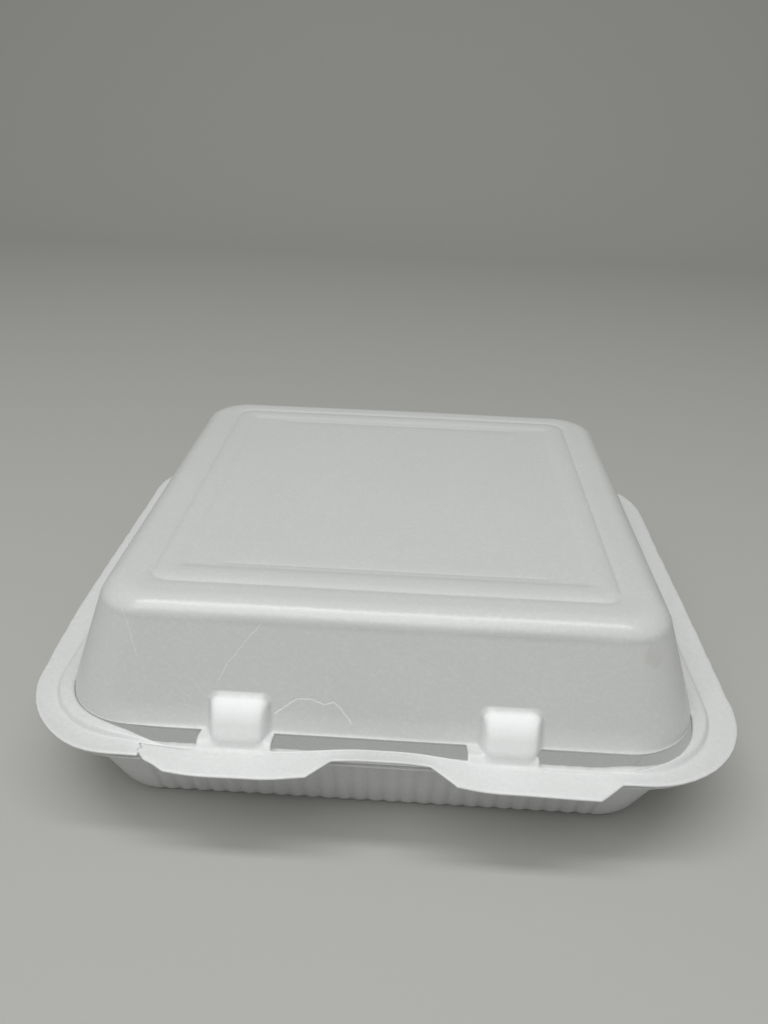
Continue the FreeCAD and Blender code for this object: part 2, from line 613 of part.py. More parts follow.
room_pair = mirror(lid, "room_pair", [room], "YZ_Plane")

# Pressed border of the top panel: a fine line, a raised bead and two inner lines
bead_line = new_sketch(lid, "bead_line", "XY_Plane", "sizes.lid_top")
bead_w = "sizes.border_width - 2 * sizes.line_width"
bead_d = "sizes.border_depth - 2 * sizes.line_width"
bead_r = "sizes.border_corner - sizes.line_width"
rounded_outline(bead_line, bead_w, bead_d, bead_r)
rounded_outline(bead_line, bead_w + " - 2 * sizes.bead_width", bead_d + " - 2 * sizes.bead_width",
                bead_r + " - sizes.bead_width")
bead = pad(lid, "bead", bead_line, "sizes.bead_rise")
bead_high = value("sizes.lid_top + sizes.bead_rise")
bead_soft = soften(lid, "bead_soft", bead, "sizes.bead_round", lambda e: level(e, bead_high), True)
border_line = new_sketch(lid, "border_line", "XY_Plane", "sizes.lid_top")
rounded_outline(border_line, "sizes.border_width", "sizes.border_depth", "sizes.border_corner")
rounded_outline(border_line, bead_w, bead_d, bead_r)
border = pocket(lid, "border", border_line, "sizes.line_deep")
inner_lines = new_sketch(lid, "inner_lines", "XY_Plane", "sizes.lid_top")
line_far = "((%s) / 2 - sizes.bead_width - sizes.inner_line_inset)" % bead_d
line_near = "(%s - sizes.line_width)" % line_far
line_half = "sizes.inner_line_length / 2"
front_line = []
front_line.append(("-" + line_half, "-" + line_far))
front_line.append((line_half, "-" + line_far))
front_line.append((line_half, "-" + line_near))
front_line.append(("-" + line_half, "-" + line_near))
polygon(inner_lines, front_line)
back_line = []
back_line.append(("-" + line_half, line_near))
back_line.append((line_half, line_near))
back_line.append((line_half, line_far))
back_line.append(("-" + line_half, line_far))
polygon(inner_lines, back_line)
inner_pressed = pocket(lid, "inner_pressed", inner_lines, "sizes.line_deep")

# Cuts that free the front strip: three wide ones, a slit round each corner, and the tear
cuts_line = new_sketch(lid, "cuts_line", "XY_Plane", lid_under)
cut_in = "-(sizes.lid_foot_depth / 2 + sizes.cut_margin)"
cut_out = "-(sizes.lid_foot_depth / 2 + sizes.cut_margin + sizes.cut_width)"
corner_x = "(sizes.lid_foot_width / 2 - sizes.lid_foot_corner)"
bridge_far = "(sizes.bridge_spacing / 2 + sizes.bridge_width / 2)"
bridge_near = "(sizes.bridge_spacing / 2 - sizes.bridge_width / 2)"
left_far = "-(%s + sizes.cut_shift)" % bridge_far
left_near = "-(%s + sizes.cut_shift)" % bridge_near
right_near = "(%s - sizes.cut_shift)" % bridge_near
right_far = "(%s - sizes.cut_shift)" % bridge_far


def cut_outline(start, stop):
    corners = []
    corners.append((start, cut_out))
    corners.append((stop, cut_out))
    corners.append((stop, cut_in))
    corners.append((start, cut_in))
    polygon(cuts_line, corners)


cut_outline("-" + corner_x, left_far)
cut_outline(left_near, right_near)
cut_outline(right_far, corner_x)
cuts = pocket(lid, "cuts", cuts_line, "sizes.foot_rise + 2", True)
slits_line = new_sketch(lid, "slits_line", "XY_Plane", lid_under)
corner_slit(slits_line, -1, "sizes.slit_width", "sizes.slit_run")
corner_slit(slits_line, 1, "sizes.slot_round", "sizes.slot_run")
slits = pocket(lid, "slits", slits_line, "sizes.foot_rise + 2", True)
tear_line = new_sketch(lid, "tear_line", "XY_Plane", lid_under)
tear_x = "-sizes.tear_left"
tear_start = "-(sizes.lid_foot_depth / 2 + sizes.cut_margin + sizes.cut_width / 2)"
tear_stop = "-(sizes.rim_depth / 2 + sizes.tab_reach / 2)"
tear = []
tear.append((tear_x, tear_start))
tear.append((tear_x + " - sizes.tear_zigzag", "-(sizes.step_depth / 2 + 2)"))
tear.append((tear_x + " + sizes.tear_zigzag / 2", "-(sizes.step_depth / 2 + 4)"))
tear.append((tear_x + " - 2 * sizes.tear_zigzag", tear_stop))
tear.append((tear_x + " - 2 * sizes.tear_zigzag + sizes.tear_width", tear_stop))
tear.append((tear_x + " + sizes.tear_zigzag / 2 + sizes.tear_width", "-(sizes.step_depth / 2 + 4)"))
tear.append((tear_x + " - sizes.tear_zigzag + sizes.tear_width", "-(sizes.step_depth / 2 + 2)"))
tear.append((tear_x + " + sizes.tear_width", tear_start))
polygon(tear_line, tear)
tear_cut = pocket(lid, "tear_cut", tear_line, "sizes.ledge_rise + 1", True)

# The fold: a half round of rim sheet that joins the two back edges

fold = new_body("hinge_web")
fold_line = new_sketch(fold, "fold_line", "YZ_Plane")
hinge_y = "(sizes.rim_depth / 2)"
fold_out = "(sizes.rim_gap / 2 + sizes.rim_sheet)"
fold_in = "(sizes.rim_gap / 2)"
centre = FreeCAD.Vector(value(hinge_y), value("sizes.parting_height"), 0)
arcs = []
for radius in (fold_out, fold_in):
    circle = Part.Circle(centre, FreeCAD.Vector(0, 0, 1), value(radius))
    arcs.append(fold_line.addGeometry(Part.ArcOfCircle(circle, -math.pi / 2, math.pi / 2), False))
ends = []
for sign in (-1, 1):
    a = centre + FreeCAD.Vector(0, sign * value(fold_out), 0)
    b = centre + FreeCAD.Vector(0, sign * value(fold_in), 0)
    ends.append(fold_line.addGeometry(Part.LineSegment(a, b), False))
for end, place in ((ends[0], 1), (ends[1], 2)):
    fold_line.addConstraint(Sketcher.Constraint("Coincident", end, 1, arcs[0], place))
    fold_line.addConstraint(Sketcher.Constraint("Coincident", end, 2, arcs[1], place))
    fold_line.addConstraint(Sketcher.Constraint("Vertical", end))
fold_line.addConstraint(Sketcher.Constraint("Coincident", arcs[0], 3, arcs[1], 3))
fold_line.addConstraint(Sketcher.Constraint("Vertical", arcs[0], 1, arcs[0], 3))
tie(fold_line, "Radius", (arcs[0],), fold_out)
tie(fold_line, "Radius", (arcs[1],), fold_in)
tie(fold_line, "DistanceX", (-1, 1, arcs[0], 3), hinge_y)
tie(fold_line, "DistanceY", (-1, 1, arcs[0], 3), "sizes.parting_height")
fold_sheet = pad(fold, "fold_sheet", fold_line, "2 * sizes.fold_half", True)

# Every object has to be sound before the three pieces are written out
doc.recompute()
for thing in doc.Objects:
    if "Invalid" in thing.State or "Error" in thing.State:
        raise ValueError(thing.Name + " is not sound: " + str(thing.State))
for body in (tray, lid, fold):
    if body.Shape.isNull() or not body.Shape.isValid():
        raise ValueError(body.Name + " has no valid shape")
    if len(body.Shape.Solids) != 1:
        raise ValueError("%s has %d solids" % (body.Name, len(body.Shape.Solids)))
    box = body.Shape.BoundBox
    print("%-10s %7.1f x %7.1f x %6.1f mm, volume %9.0f mm3" % (
        body.Name, box.XLength, box.YLength, box.ZLength, body.Shape.Volume))
    body.Shape.exportStep("parts/" + body.Name + ".step")
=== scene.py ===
# %% [markdown]
# # A foam clamshell, dressed
#
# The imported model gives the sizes: a shallow tray, a domed lid and the fold between them.
# Foam sheet is soft, so the real thing is a little wavy, its edges are rounded, and its skin has
# a fine grain. Those are added here, on shells that stand in for the plain solids.

# %% Load the frame
import math
import bpy
import bmesh
from mathutils import Matrix, Vector, noise


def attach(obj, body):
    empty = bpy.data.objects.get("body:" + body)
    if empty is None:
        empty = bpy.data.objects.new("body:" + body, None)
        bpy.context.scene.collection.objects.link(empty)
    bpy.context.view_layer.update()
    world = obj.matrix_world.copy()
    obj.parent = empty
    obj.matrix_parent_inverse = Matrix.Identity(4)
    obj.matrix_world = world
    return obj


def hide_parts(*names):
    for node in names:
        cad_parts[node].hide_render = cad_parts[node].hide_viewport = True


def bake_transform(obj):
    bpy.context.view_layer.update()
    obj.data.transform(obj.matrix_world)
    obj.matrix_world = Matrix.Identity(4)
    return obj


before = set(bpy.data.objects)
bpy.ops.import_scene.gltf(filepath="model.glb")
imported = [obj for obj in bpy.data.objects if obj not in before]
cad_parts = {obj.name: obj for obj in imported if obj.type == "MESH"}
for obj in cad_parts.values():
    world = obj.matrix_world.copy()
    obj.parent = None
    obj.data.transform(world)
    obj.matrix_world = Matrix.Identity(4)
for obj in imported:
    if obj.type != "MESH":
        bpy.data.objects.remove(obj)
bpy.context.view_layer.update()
MM = 0.001

# %% [markdown]
# ## Outlines
#
# Every level of the container is a rounded rectangle. A shell could be cut from a box, or lofted
# from curves. Here one loop of points is made and then extruded level by level, because the same
# column of points then runs from the rim to the top, and a local form such as a latch pocket only
# has to move the points it covers.

# %% Places round an outline
CORNER_STEPS = 14
BACK_CORNER_STEPS = 26


def places_round(front, side, back):
    """Names each point of a loop: which side or corner it is on, and how far along."""
    parts = [("front", front), ("front_right", CORNER_STEPS), ("right", side),
             ("back_right", BACK_CORNER_STEPS), ("back", back), ("back_left", BACK_CORNER_STEPS),
             ("left", side), ("front_left", CORNER_STEPS)]
    return [(part, i / count) for part, count in parts for i in range(count)]


def outline_spot(place, width, depth, corner):
    """Where a place lies on a rounded rectangle, in millimetres."""
    part, share = place
    w, d = width / 2 - corner, depth / 2 - corner
    if part == "front":
        return (2 * share - 1) * w, -depth / 2
    if part == "right":
        return width / 2, (2 * share - 1) * d
    if part == "back":
        return (1 - 2 * share) * w, depth / 2
    if part == "left":
        return -width / 2, (1 - 2 * share) * d
    centre_x = w if "right" in part else -w
    centre_y = d if "back" in part else -d
    start = {"front_right": -90, "back_right": 0, "back_left": 90, "front_left": 180}[part]
    angle = math.radians(start + 90 * share)
    return centre_x + corner * math.cos(angle), centre_y + corner * math.sin(angle)


def ease(low, high, value):
    """Runs smoothly from 0 at low to 1 at high. High may also be the smaller of the two."""
    share = min(1.0, max(0.0, (value - low) / (high - low)))
    return share * share * (3 - 2 * share)


def sign(value):
    return 1 if value > 0 else -1


class Row:
    """One level of a shell: its outline, its height, what it is, how far out on the rim it lies
    (1 at the free edge, 0 at the root) and the share of the full sheet thickness it has."""

    def __init__(self, width, depth, corner, height, kind="wall", reach=0.0, sheet=1.0):
        self.width, self.depth, self.corner, self.height = width, depth, corner, height
        self.kind, self.reach, self.sheet = kind, reach, sheet


print("a loop has", len(places_round(240, 56, 70)), "places")

# %% [markdown]
# ## A shell from rows
#
# `create_circle` gives the first loop, `extrude_edge_only` grows each further loop from the last,
# and a face closes the middle. The faces of each band are kept, so that the die-cut slots can be
# taken out afterwards. Solidify then gives the skin its thickness, inwards.

# %% Grow a shell
SHEET = 2.2


def settle(mesh, name):
    """Turns a finished bmesh into a smooth object of the scene."""
    data = bpy.data.meshes.new(name)
    mesh.to_mesh(data)
    mesh.free()
    for face in data.polygons:
        face.use_smooth = True
    piece = bpy.data.objects.new(name, data)
    bpy.context.scene.collection.objects.link(piece)
    print(name, "faces", len(data.polygons))
    return piece


def middles(places):
    """The middle of each step from one place to the next."""
    counts = {}
    for part, share in places:
        counts[part] = counts.get(part, 0) + 1
    return [(part, share + 0.5 / counts[part]) for part, share in places]


def grow_shell(name, places, rows, spot, cut=None):
    """Grows a shell through its rows. Spot gives the point of a place in a row, and cut says
    which faces between two rows are taken out again."""
    mesh = bmesh.new()
    weight = mesh.verts.layers.deform.verify()
    loop = bmesh.ops.create_circle(mesh, segments=len(places), radius=1.0)["verts"]
    count = len(loop)
    bands = []
    for level, row in enumerate(rows):
        grown = loop
        if level > 0:
            edges = [mesh.edges.get((loop[i], loop[(i + 1) % count])) for i in range(count)]
            new = bmesh.ops.extrude_edge_only(mesh, edges=edges)["geom"]
            fresh = {v for v in new if isinstance(v, bmesh.types.BMVert)}
            grown = [next(e.other_vert(v) for e in v.link_edges if e.other_vert(v) in fresh)
                     for v in loop]
            bands.append([mesh.edges.get((grown[i], grown[(i + 1) % count])).link_faces[0]
                          for i in range(count)])
        for vert, place in zip(grown, places):
            vert.co = Vector(spot(place, row)) * MM
            vert[weight][0] = row.sheet
        loop = grown
    closing = bmesh.ops.contextual_create(mesh, geom=loop)["faces"][0]
    bmesh.ops.recalc_face_normals(mesh, faces=mesh.faces[:])
    closing.normal_update()
    if closing.normal.z * (rows[-1].height - rows[0].height) < 0:
        bmesh.ops.reverse_faces(mesh, faces=mesh.faces[:])
    if cut:
        gone = [face for outer, inner, band in zip(rows, rows[1:], bands)
                for place, face in zip(middles(places), band) if cut(place, outer, inner)]
        bmesh.ops.delete(mesh, geom=gone, context="FACES")
    shell = settle(mesh, name)
    shell.vertex_groups.new(name="sheet")
    solid = shell.modifiers.new("sheet", "SOLIDIFY")
    solid.thickness = SHEET * MM
    solid.offset = -1.0
    solid.vertex_group = "sheet"
    solid.use_even_offset = False
    return shell


# %% [markdown]
# ## The lid
#
# From the outside in: a flat rim, a step, a narrow ledge, a leaning wall, a rounded edge and a top
# panel with a border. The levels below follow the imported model. The rim carries two finger tabs at
# the front and the straight land of the fold at the back.

# %% Levels of the lid
RIM_W, RIM_D, RIM_R = 232.0, 214.0, 37.0
RIM_TOP = 39.35
RIM_SHEET = 0.55
lid_rows = [
    Row(RIM_W, RIM_D, RIM_R, RIM_TOP - 0.75, "rim", 1.0, RIM_SHEET),
    Row(RIM_W - 0.2, RIM_D - 0.2, RIM_R, RIM_TOP - 0.25, "rim", 0.99, RIM_SHEET),
    Row(RIM_W - 1.0, RIM_D - 1.0, RIM_R - 0.5, RIM_TOP, "rim", 0.93, RIM_SHEET),
    Row(RIM_W - 3.4, RIM_D - 3.0, RIM_R - 1.5, RIM_TOP, "rim", 0.65, RIM_SHEET),
    Row(RIM_W - 7.0, RIM_D - 5.6, RIM_R - 3.0, RIM_TOP, "rim", 0.35, RIM_SHEET),
    Row(RIM_W - 11.0, RIM_D - 8.4, RIM_R - 5.0, RIM_TOP, "rim", 0.15, RIM_SHEET),
    Row(RIM_W - 15.0, RIM_D - 11.2, RIM_R - 6.6, RIM_TOP, "rim", 0.05, RIM_SHEET),
    Row(214.6, 201.2, 29.8, RIM_TOP, "rim", 0.0, RIM_SHEET),
]

# Outline and height over the rim, up the step and across the ledge to the foot of the wall. The
# rows here hold a share of the way between two points of this profile, which cut_shares gives.
PROFILE = [(214.6, 201.2, 29.8, 0.0), (213.6, 200.3, 29.4, 0.2), (213.1, 199.8, 29.1, 0.7),
           (212.3, 199.1, 28.7, 1.5), (211.6, 198.5, 28.4, 2.0), (210.4, 197.6, 27.8, 2.25),
           (207.6, 196.2, 26.6, 2.4), (204.6, 195.2, 25.4, 2.5), (201.8, 194.3, 24.4, 2.6),
           (200.0, 193.6, 23.8, 2.95)]
STRIP_ROWS, BRIDGE_ROWS, LEDGE_ROWS = 9, 4, 2
for kind, sheet, shares in (
        ("strip", 0.65, [i / STRIP_ROWS for i in range(1, STRIP_ROWS + 1)]),
        ("bridge", 0.75, [i / (BRIDGE_ROWS + 1) for i in range(1, BRIDGE_ROWS + 1)]),
        ("ledge", 0.85, [i / LEDGE_ROWS for i in range(LEDGE_ROWS + 1)])):
    lid_rows += [Row(0, 0, 0, share, kind, 0.0, sheet) for share in shares]

# The wall leans from its foot to the top panel and spreads a little where it meets the ledge. Its
# levels are closest together round the tops of the latch pockets.
WALL_FOOT, WALL_HEAD = (200.0, 191.0, 21.0), (174.0, 172.0, 15.0)
FOOT_Z, TOP = 43.4, 81.0
FLARE, FLARE_Z, FLARE_RISE = (-0.6, 2.2, 2.6), 42.3, 6.5
LEAN = math.radians(18)
EDGE_R, EDGE_LEVELS = 8.0, 8
WALL_LEVELS = [start + step * level for start, step, count in ((43.2, 0.85, 8), (50.0, 0.6, 8),
                                                              (55.5, 2.3, 11))
               for level in range(count)]
wall_top = TOP - EDGE_R * (1 - math.sin(LEAN))
for height in [level for level in WALL_LEVELS if level < wall_top - 1.0] + [wall_top]:
    share = (height - FOOT_Z) / (TOP - FOOT_Z)
    flare = max(0.0, 1.0 - (height - FLARE_Z) / FLARE_RISE) ** 2
    outline = [foot + (head - foot) * share + spread * flare
               for foot, head, spread in zip(WALL_FOOT, WALL_HEAD, FLARE)]
    lid_rows.append(Row(*outline, height))


def rolled_edge(lean, radius, levels):
    """Insets and rises of an edge that rolls over from a leaning wall to a level face."""
    tangent = math.tan((math.pi / 2 - lean) / 2)
    for level in range(1, levels + 1):
        angle = lean + (math.pi / 2 - lean) * level / levels
        yield radius * (tangent - math.cos(angle)), radius * (1 - math.sin(angle))


for inset, drop in rolled_edge(LEAN, EDGE_R, EDGE_LEVELS):
    width, depth, corner = WALL_HEAD
    lid_rows.append(Row(width - 2 * inset, depth - 2 * inset, corner - 0.35 * inset, TOP - drop,
                        "panel"))

# The border: a fine line, a low bead and broken inner lines. Each level has an inset from the
# border line and a lift over the panel.
BORDER_W, BORDER_D, BORDER_R = 147.5, 149.0, 7.0
BEAD_STEPS, BEAD_W, BEAD_H = 9, 8.0, 0.5
LINE = [(-3.0, 0.0), (-0.9, 0.0), (-0.35, -0.18), (0.05, -0.34), (0.5, -0.12), (1.0, 0.12)]
BEAD = [(1.0 + BEAD_W * i / BEAD_STEPS, 0.12 + BEAD_H * math.sin(math.pi * i / BEAD_STEPS) ** 0.6)
        for i in range(1, BEAD_STEPS)] + [(9.2, 0.1), (10.0, 0.0), (11.0, 0.0)]
INNER = [(11.5, -0.1), (11.9, -0.22), (12.3, -0.1)]
MIDDLE = [(inset, 0.0) for inset in (13.0, 18.0, 27.0, 36.0, 45.0, 54.0, 63.0, 70.0)]
for kind, levels in (("panel", LINE + BEAD), ("inner", INNER), ("panel", MIDDLE)):
    for inset, lift in levels:
        corner = max(1.5, BORDER_R - 0.6 * inset) if inset > 0 else BORDER_R
        lid_rows.append(Row(BORDER_W - 2 * inset, BORDER_D - 2 * inset, corner, TOP + lift, kind))
print("levels", len(lid_rows))

# %% [markdown]
# ### What departs from a plain outline
#
# - The latch pockets push the front wall out to one upright face.
# - The finger tabs carry the rim forward.
# - The die cuts the front strip free of the wall. Each place has a share of the way up the step
#   and ledge where the strip stops and one where the wall goes on, so a slot can taper to a slit.
# - The freed strip bows up in the middle, and its torn end rides up over the rim.
# - The rim is thin foam, and waves a little.

# %% Local forms of the lid
# Along the foot of the wall: half the front, a corner, a side, and what stands for the back
FRONT_HALF, CORNER_RUN, SIDE_RUN, BACK_RUN = 79.0, 33.5, 148.8, 400.0

# Latch pockets. Towards its top a pocket gets narrower and rounds back to the wall.
POCKETS, POCKET_HALF, POCKET_SIDE = (-42.0, 40.5), 8.6, (-1.5, 1.1)
POCKET_Y, POCKET_TOP, POCKET_LEAN, LEAN_FROM_Z = -102.2, 53.3, 3.8 / 14.0, 40.0
POCKET_NARROWS, NARROWS_OVER, POCKET_ROUND = 2.0, 2.6, 6.5
POCKET_BULGE, BULGE_EDGE = 0.9, 4.0

# Finger tabs: where each starts, stands out in full, begins to run back and ends
TABS = ((-70.5, -60.8, -19.7, -12.8), (16.5, 24.4, 66.0, 73.2))
TAB_OUT = 6.0

# The straight land of the fold, up to the back corners of the rim
LAND_FULL, LAND_END = 100.5, 107.0

# The slots run from end to end, apart from the bridges at the pockets, and taper to slits
SLOT_ENDS, BRIDGES = (-146.0, 111.0), ((-55.5, -32.0), (28.0, 50.2))
SLOT_FROM, SLIT_FROM, SLOT_TO = 0.20, 0.925, 0.985
LEFT_TAPER, RIGHT_TAPER = (62.0, 86.0), (70.0, 112.0)

# The freed strip: further forward than the plan, bowed, sagging beside the bow, with loose ends
STRIP_FORWARD, FOOT_FORWARD = 2.7, 0.3
FORWARD_LEFT, FORWARD_RIGHT = (66.0, 84.0), (78.0, 112.0)
STRIP_BOW, BOW_MIDDLE, BOW_SPAN = 3.0, 2.0, (4.0, 36.0)
STRIP_SAG, SAG_SPAN = 0.6, (20.0, 34.0)
STRIP_DROOP, DROOP_SPAN = 0.5, (40.0, 62.0)
TORN_SPAN, HELD_FROM, FREE_Y = (48.0, 70.0), 66.0, (-101.0, -111.0)
INNER_LIP, LIP_SPAN, LIP_RAGGED = 0.5, (66.0, 90.0), 0.25

# The tear: a gap one face wide, where the strip laps over the rim with a jagged edge
TEAR_X, TEAR_SHIFT, TEAR_HALF = -69.0, 0.9, 0.34
TEAR_REACH, TEAR_RISE, TEAR_LAP = 16.0, 1.3, 1.6
JAG, JAG_REACH, JAG_RATE = 0.7, 6.0, 1.9

# Waves of the thin sheet: how high, and how many to the millimetre
RIM_WAVE, RIM_RATE = 0.9, 0.028
RIM_RAGGED, RAGGED_RATE = 0.35, 0.21
WALL_WAVE, WALL_RATE = 0.35, 0.03
TOP_WAVE, TOP_RATE = 0.22, 0.018
# The left front corner of the rim is pushed in a little
LEFT_PULL, PULL_Y, PULL_X = 2.2, (30.0, 80.0), (84.0, 108.0)
# The inner lines of the border stop short of its corners
INNER_FULL, INNER_END = 48.0, 55.0


def round_front(place):
    """Millimetres from the middle of the front along the foot of the wall, left negative."""
    part, share = place
    if part == "front":
        return (2 * share - 1) * FRONT_HALF
    if part == "front_right":
        return FRONT_HALF + CORNER_RUN * share
    if part == "right":
        return FRONT_HALF + CORNER_RUN + SIDE_RUN * share
    if part == "front_left":
        return -(FRONT_HALF + CORNER_RUN * (1 - share))
    if part == "left":
        return -(FRONT_HALF + CORNER_RUN + SIDE_RUN * (1 - share))
    return BACK_RUN


def cut_shares(place):
    """Where the strip stops and where the wall goes on, as shares of the step and ledge."""
    along = round_front(place)
    narrow = ease(*LEFT_TAPER, -along) if along < 0 else ease(*RIGHT_TAPER, along)
    return SLOT_FROM + (SLIT_FROM - SLOT_FROM) * narrow, SLOT_TO


def is_slot(along):
    """True where the die has gone through, along the front and round both corners."""
    if not SLOT_ENDS[0] < along < SLOT_ENDS[1]:
        return False
    return not any(low < along < high for low, high in BRIDGES)


def profile_at(share):
    """Outline and height at a share of the way up the step and ledge."""
    spot = min(share, 0.99999) * (len(PROFILE) - 1)
    low = int(spot)
    return [a + (b - a) * (spot - low) for a, b in zip(PROFILE[low], PROFILE[low + 1])]


def pocket_push(x, y, z):
    """Moves a point of the front wall onto a latch pocket."""
    across = min(abs(x - middle) for middle in POCKETS)
    below = POCKET_TOP + 0.3 - z
    half = POCKET_HALF - POCKET_NARROWS * max(0.0, 1.0 - below / NARROWS_OVER) ** 2
    side = 1.0 - ease(half + POCKET_SIDE[0], half + POCKET_SIDE[1], across)
    if side <= 0.0 or z > POCKET_TOP + 1.0:
        return y
    drop = min(1.0, max(0.0, below / POCKET_ROUND))
    crown = math.sqrt(max(0.0, 1.0 - (1.0 - drop) ** 2))
    bulge = POCKET_BULGE * ease(POCKET_HALF - BULGE_EDGE, POCKET_HALF, across)
    target = POCKET_Y + POCKET_LEAN * (z - LEAN_FROM_Z) + bulge
    return y + (target - y) * side * crown if target < y else y


def tab_reach(x):
    """How much of a finger tab there is at a place on the front edge, from 0 to 1."""
    best = 0.0
    for start, rise, fall, end in TABS:
        best = max(best, min(1.0, (x - start) / (rise - start), (end - x) / (end - fall)))
    return best


def forward_share(place):
    """Where the freed strip and the foot of the wall lie further forward than the plan."""
    along = round_front(place)
    return (1.0 - ease(*FORWARD_LEFT, -along)) * (1.0 - ease(*FORWARD_RIGHT, along))


def strip_lift(x, y):
    """How far the freed front strip stands above or below the rim plane."""
    if not TEAR_X - 1.0 <= x <= FRONT_HALF:
        return 0.0
    held = 1.0 - ease(HELD_FROM, FRONT_HALF, abs(x))
    torn_end = ease(*TORN_SPAN, -x)
    droop = STRIP_DROOP * ease(*DROOP_SPAN, x) * held
    sag = STRIP_SAG * ease(*SAG_SPAN, abs(x)) * held
    bow = STRIP_BOW * (1.0 - ease(*BOW_SPAN, abs(x - BOW_MIDDLE)))
    return bow + (torn_end - droop - sag) * ease(*FREE_Y, y)


def land_shift(x, y, row):
    """How far a rim corner is drawn back to meet the straight edge that carries the fold."""
    return ((row.depth / 2 - y) * (1.0 - ease(LAND_FULL, LAND_END, abs(x)))
            * min(1.0, 1.5 * row.reach))


def rim_spot(place, row, x, y, z):
    """Tabs, land, ragged edge and waves of the lid's rim. The waves only lift it."""
    if place[0] == "front":
        y -= TAB_OUT * tab_reach(x) * row.reach
    if "back" in place[0]:
        y += land_shift(x, y, row)
    if abs(x) > 100:
        ragged = noise.noise(Vector((x * RAGGED_RATE, y * RAGGED_RATE, 3.0)))
        x += sign(x) * RIM_RAGGED * ragged * row.reach
    x += LEFT_PULL * row.reach * ease(*PULL_Y, -y) * ease(*PULL_X, -x)
    if y < -80.0:
        y -= STRIP_FORWARD * (1.0 - row.reach) ** 3 * forward_share(place)
    if y < 95.0:
        wave = 0.5 + 0.5 * noise.noise(Vector((x, y, 0.0)) * RIM_RATE)
        z += RIM_WAVE * row.reach * wave
    return x, y, z


def tear_spot(x, y, z):
    """At the tear, the strip laps over the rim with a jagged edge."""
    near = ease(-TEAR_REACH, 0.0, -abs(x - TEAR_X))
    if x > TEAR_X:
        z += TEAR_RISE * near
        x -= TEAR_LAP * near
    if abs(x - TEAR_X) < JAG_REACH:
        x += JAG * math.sin(y * JAG_RATE) * (1 - abs(x - TEAR_X) / JAG_REACH)
    return x, y, z


def lid_spot(place, row):
    """The point of a place in a row of the lid, in millimetres."""
    part, along = place[0], round_front(place)
    x, y = outline_spot(place, row.width, row.depth, row.corner)
    z, share = row.height, 0.0
    stepped = row.kind in ("strip", "bridge", "ledge")
    if stepped:
        low, high = cut_shares(place)
        share = {"strip": low * row.height, "bridge": low + (high - low) * row.height,
                 "ledge": high + (1.0 - high) * row.height}[row.kind]
        width, depth, corner, rise = profile_at(share)
        x, y = outline_spot(place, width, depth, corner)
        z = RIM_TOP + rise
    if row.kind == "rim":
        x, y, z = rim_spot(place, row, x, y, z)
    if row.kind in ("rim", "strip", "bridge") and part == "front":
        z += strip_lift(x, y) * (1.0 - ease(0.3, 1.0, share))
        if row.kind == "rim":
            x, y, z = tear_spot(x, y, z)
    if stepped and y < -70.0:
        y -= (STRIP_FORWARD + (FOOT_FORWARD - STRIP_FORWARD) * share) * forward_share(place)
    if row.kind == "strip" and is_slot(along):
        z -= INNER_LIP * share / SLOT_FROM * (1.0 - ease(*LIP_SPAN, abs(along)))
        y += LIP_RAGGED * noise.noise(Vector((x * 0.3, 7.0, 0.0))) * share
    if row.kind in ("bridge", "ledge", "wall") and part == "front":
        y = pocket_push(x, y, z)
    if row.kind == "inner":
        keep = 1.0 - ease(INNER_FULL, INNER_END, abs(x)) if part in ("front", "back") else 0.0
        z = TOP + (row.height - TOP) * keep
    if row.kind in ("panel", "inner"):
        z += TOP_WAVE * noise.noise(Vector((x, y, 0.0)) * TOP_RATE)
    if row.kind == "wall":
        push = WALL_WAVE * noise.noise(Vector((x, y, z)) * WALL_RATE)
        if part in ("left", "right"):
            x += push * sign(x)
        if part in ("front", "back"):
            y += push * sign(y)
    return x, y, z


def lid_cut(place, outer, inner):
    """True for faces that the die took out: the slots beside the wall and the tear."""
    if outer.kind in ("strip", "bridge") and inner.kind in ("bridge", "ledge"):
        return is_slot(round_front(place))
    if outer.kind == "rim" and inner.kind in ("rim", "strip") and place[0] == "front":
        return abs(round_front(place) - TEAR_X + TEAR_SHIFT) < TEAR_HALF
    return False


lid_shell = grow_shell("lid_shell", places_round(240, 56, 70), lid_rows, lid_spot, lid_cut)
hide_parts("lid")
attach(lid_shell, "lid")

# %% [markdown]
# ## The tray
#
# The tray is made the same way, from the edge of its rim down to the floor, with the skin on the
# outside. Upright flutes stiffen the walls. On the real tray the mould presses them in, so here a
# wave that runs along the straight sides moves each point in.

# %% Levels and flutes of the tray
RIM_LOW = 36.65
TRAY_FOOT, TRAY_MOUTH, MOUTH_Z = (183.0, 165.0, 18.0), (214.0, 199.0, 29.0), 38.0
TRAY_LEAN, TRAY_LEVELS = math.radians(24), 14
FLOOR_R, ROLL_LEVELS = 6.0, 6
FLUTE, FLUTE_DEEP = 5.4, 1.0
# Half the number of flute pitches on each side
FLUTED = {"front": 13.5, "back": 13.5, "left": 11.5, "right": 11.5}
# At the front the mouth is a little forward and the edge of the rim is set back under the strip
TRAY_FORWARD, FORWARD_Z, FORWARD_SPAN = 1.5, (26.0, 36.0), (66.0, 78.0)
RIM_BACK, RIM_BACK_SPAN = 3.2, (69.0, 73.0)
# The rim is tucked in at its corners, to stay under the lid's
TUCK, LEFT_TUCK = 1.2, 2.6

